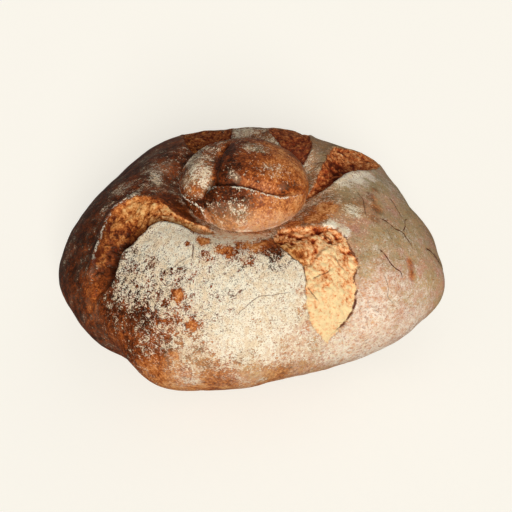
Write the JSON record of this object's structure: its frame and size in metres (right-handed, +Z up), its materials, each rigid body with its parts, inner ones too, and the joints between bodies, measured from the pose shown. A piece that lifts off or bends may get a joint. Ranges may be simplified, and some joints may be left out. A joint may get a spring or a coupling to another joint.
{
  "type": "sourdough loaf",
  "caption": "Large round country sourdough loaf with a slashed knot of dough baked onto its crown and torn, craggy bursts running out from under it; floured crust, flat base.",
  "frame": {"origin": "on the ground under the middle of the loaf's bounding box", "axes": "+Z up through the knot, +X along the loaf's longer side, -Y towards the side with the widest front burst"},
  "size_m": [0.2886, 0.2595, 0.1395],
  "materials": {
    "crust": "matte baked crust dusted with flour, golden torn crumb in the bursts"
  },
  "bodies": {
    "root": {"loaf": "crust"}
  },
  "joints": []
}
